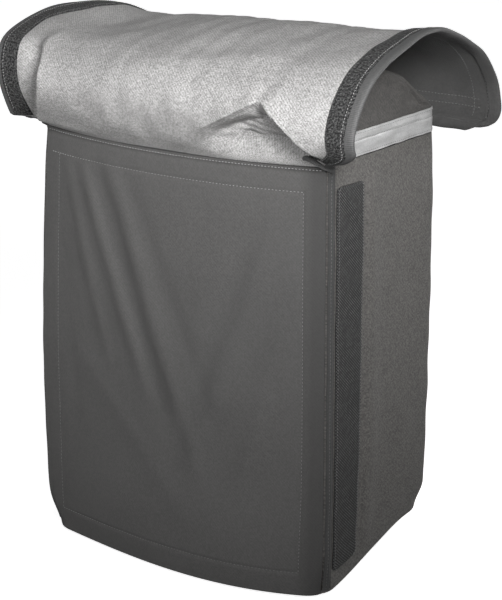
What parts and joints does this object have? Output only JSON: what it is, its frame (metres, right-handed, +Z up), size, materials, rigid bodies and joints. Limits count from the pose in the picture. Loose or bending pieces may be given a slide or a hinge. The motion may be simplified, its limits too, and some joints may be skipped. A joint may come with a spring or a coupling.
{
  "type": "bicycle pannier bag",
  "caption": "Tall rectangular bicycle pannier with an arched silver lid flap, hook-and-loop side strips, reflective bands and latching hooks on a rear rail.",
  "frame": {"origin": "middle of the flat base, on the surface that the bag stands on", "axes": "+Z up; -Y out of the front panel; +Y towards the bicycle rack; +X to the right seen from the front"},
  "size_m": [0.4118, 0.288, 0.528],
  "materials": {
    "softshell": "matte softshell",
    "side_cloth": "coarse plain weave",
    "flap_cloth": "silver coated twill, soft sheen",
    "piping": "felled seam tape",
    "hook_tape": "hook tape",
    "loop_tape": "loop tape pile",
    "binding": "ribbed binding tape",
    "reflective_tape": "silver reflective tape",
    "board": "sheet plastic",
    "anodised_aluminium": "dark anodised",
    "moulded_plastic": "fine moulded grain",
    "lever_plastic": "fine moulded grain",
    "rubber": "matte",
    "steel": "plain"
  },
  "bodies": {
    "bag": {"front_panel": "softshell", "front_stiffener": "board", "side_panel_left": "side_cloth", "side_panel_right": "side_cloth", "back_panel": "side_cloth", "base_panel": "side_cloth", "back_board": "board", "base_board": "board", "side_collar_left": "side_cloth", "side_collar_right": "side_cloth", "reflective_band_left": "reflective_tape", "reflective_band_right": "reflective_tape", "corner_piping_left": "piping", "corner_piping_right": "piping", "hook_tape_left": "hook_tape", "hook_tape_right": "hook_tape", "upper_rail": "anodised_aluminium", "upper_backing_strip": "anodised_aluminium", "upper_rail_screw_1": "steel", "upper_rail_screw_2": "steel", "upper_rail_screw_3": "steel", "upper_rail_screw_4": "steel", "lower_rail": "anodised_aluminium", "lower_backing_strip": "anodised_aluminium", "lower_rail_screw_1": "steel", "lower_rail_screw_2": "steel", "handle_anchor_left": "moulded_plastic", "handle_anchor_right": "moulded_plastic"},
    "lid": {"lid_flap": "flap_cloth", "loop_tape_left": "loop_tape", "loop_tape_right": "loop_tape", "edge_binding_left": "binding", "edge_binding_right": "binding", "rear_hem": "binding"},
    "hook_left": {"rack_hook_left": "moulded_plastic", "hook_insert_left": "rubber", "latch_pin_left": "steel", "latch_spring_left": "steel"},
    "hook_right": {"rack_hook_right": "moulded_plastic", "hook_insert_right": "rubber", "latch_pin_right": "steel", "latch_spring_right": "steel"},
    "latch_left": {"latch_lever_left": "lever_plastic"},
    "latch_right": {"latch_lever_right": "lever_plastic"},
    "handle": {"handle_bail": "steel", "handle_grip": "rubber"},
    "lower_carrier": {"lower_carrier": "moulded_plastic", "lower_pivot_screw": "steel"},
    "lower_hook": {"lower_hook": "moulded_plastic"}
  },
  "joints": [
    {"name": "lid_hinge", "type": "hinge", "parent": "bag", "child": "lid", "pos_m": [0, -0.111, 0.4195], "axis": [1, 0, 0], "range_deg": [0, 110]},
    {"name": "hook_slide_left", "type": "slide", "parent": "bag", "child": "hook_left", "axis": [1, 0, 0], "range_m": [-0.015, 0.015]},
    {"name": "latch_left_turn", "type": "hinge", "parent": "hook_left", "child": "latch_left", "pos_m": [-0.105, 0.1175, 0.382], "axis": [1, 0, 0], "range_deg": [0, 35], "stiffness_Nm_per_rad": 0.04, "springref_deg": -20.05},
    {"name": "hook_slide_right", "type": "slide", "parent": "bag", "child": "hook_right", "axis": [1, 0, 0], "range_m": [-0.015, 0.015]},
    {"name": "latch_right_turn", "type": "hinge", "parent": "hook_right", "child": "latch_right", "pos_m": [0.105, 0.1175, 0.382], "axis": [1, 0, 0], "range_deg": [0, 35], "stiffness_Nm_per_rad": 0.04, "springref_deg": -20.05},
    {"name": "handle_swing", "type": "hinge", "parent": "bag", "child": "handle", "pos_m": [0, 0.1104, 0.338], "axis": [1, 0, 0], "range_deg": [0, 170]},
    {"name": "lower_slide", "type": "slide", "parent": "bag", "child": "lower_carrier", "axis": [1, 0, 0], "range_m": [-0.035, 0.035]},
    {"name": "lower_swivel", "type": "hinge", "parent": "lower_carrier", "child": "lower_hook", "pos_m": [0, 0.1044, 0.1], "axis": [0, 1, 0], "range_deg": [-90, 90]}
  ]
}
